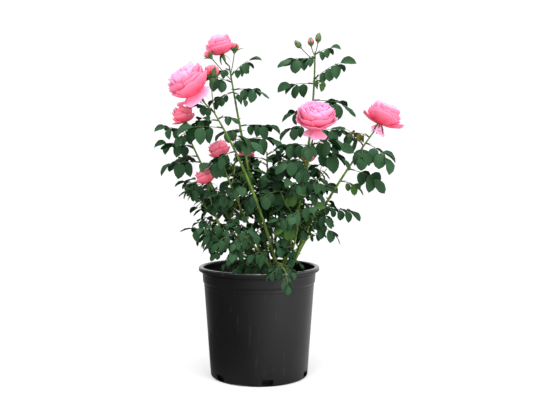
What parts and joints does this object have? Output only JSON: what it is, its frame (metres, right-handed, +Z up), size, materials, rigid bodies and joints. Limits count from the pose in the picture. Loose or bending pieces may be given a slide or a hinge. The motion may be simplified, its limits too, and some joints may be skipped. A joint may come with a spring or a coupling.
{
  "type": "potted rose bush",
  "caption": "Garden rose bush with cupped double blooms, buds and compound leaves on tall canes, built together with its round nursery container, which stands on its flat underside.",
  "frame": {"origin": "on the ground under the middle of the pot, in the plane of its flat underside", "axes": "+Z up; -Y towards the show side, where the lowest front cane and the largest bloom look out; +X to the right seen from that side"},
  "size_m": [0.5753, 0.4391, 0.7949],
  "materials": {
    "pot": "satin black moulded polypropylene",
    "soil": "dark moist bark and peat potting mix",
    "wood": "grey-brown knobbly bark",
    "cane": "smooth green bark with thorns",
    "leaf": "semi-gloss dark green leaf",
    "petals": "soft velvety pink petal"
  },
  "bodies": {
    "root": {"bloom_back_left": "petals", "bloom_back_right": "petals", "bloom_great_left": "petals", "bloom_great_middle": "petals", "bloom_great_right": "petals", "bloom_half_open": "petals", "bloom_low_left": "petals", "bloom_nodding": "petals", "bloom_top_left": "petals", "bud_union": "wood", "cane_back_left": "cane", "cane_back_right": "cane", "cane_centre": "cane", "cane_far_left": "cane", "cane_far_middle": "cane", "cane_far_right": "cane", "cane_front": "cane", "cane_inner_left": "cane", "cane_left": "cane", "cane_left_tall": "cane", "cane_low_left": "cane", "cane_middle": "cane", "cane_right": "cane", "cane_right_tall": "cane", "foliage_back_left": "leaf", "foliage_back_right": "leaf", "foliage_centre": "leaf", "foliage_far_left": "leaf", "foliage_far_middle": "leaf", "foliage_far_right": "leaf", "foliage_front": "leaf", "foliage_inner_left": "leaf", "foliage_left": "leaf", "foliage_left_tall": "leaf", "foliage_low_front": "leaf", "foliage_low_left": "leaf", "foliage_low_middle": "leaf", "foliage_low_right": "leaf", "foliage_middle": "leaf", "foliage_right": "leaf", "foliage_right_tall": "leaf", "foliage_side_left": "leaf", "foliage_trailing": "leaf", "pot": "pot", "soil": "soil"}
  },
  "joints": []
}
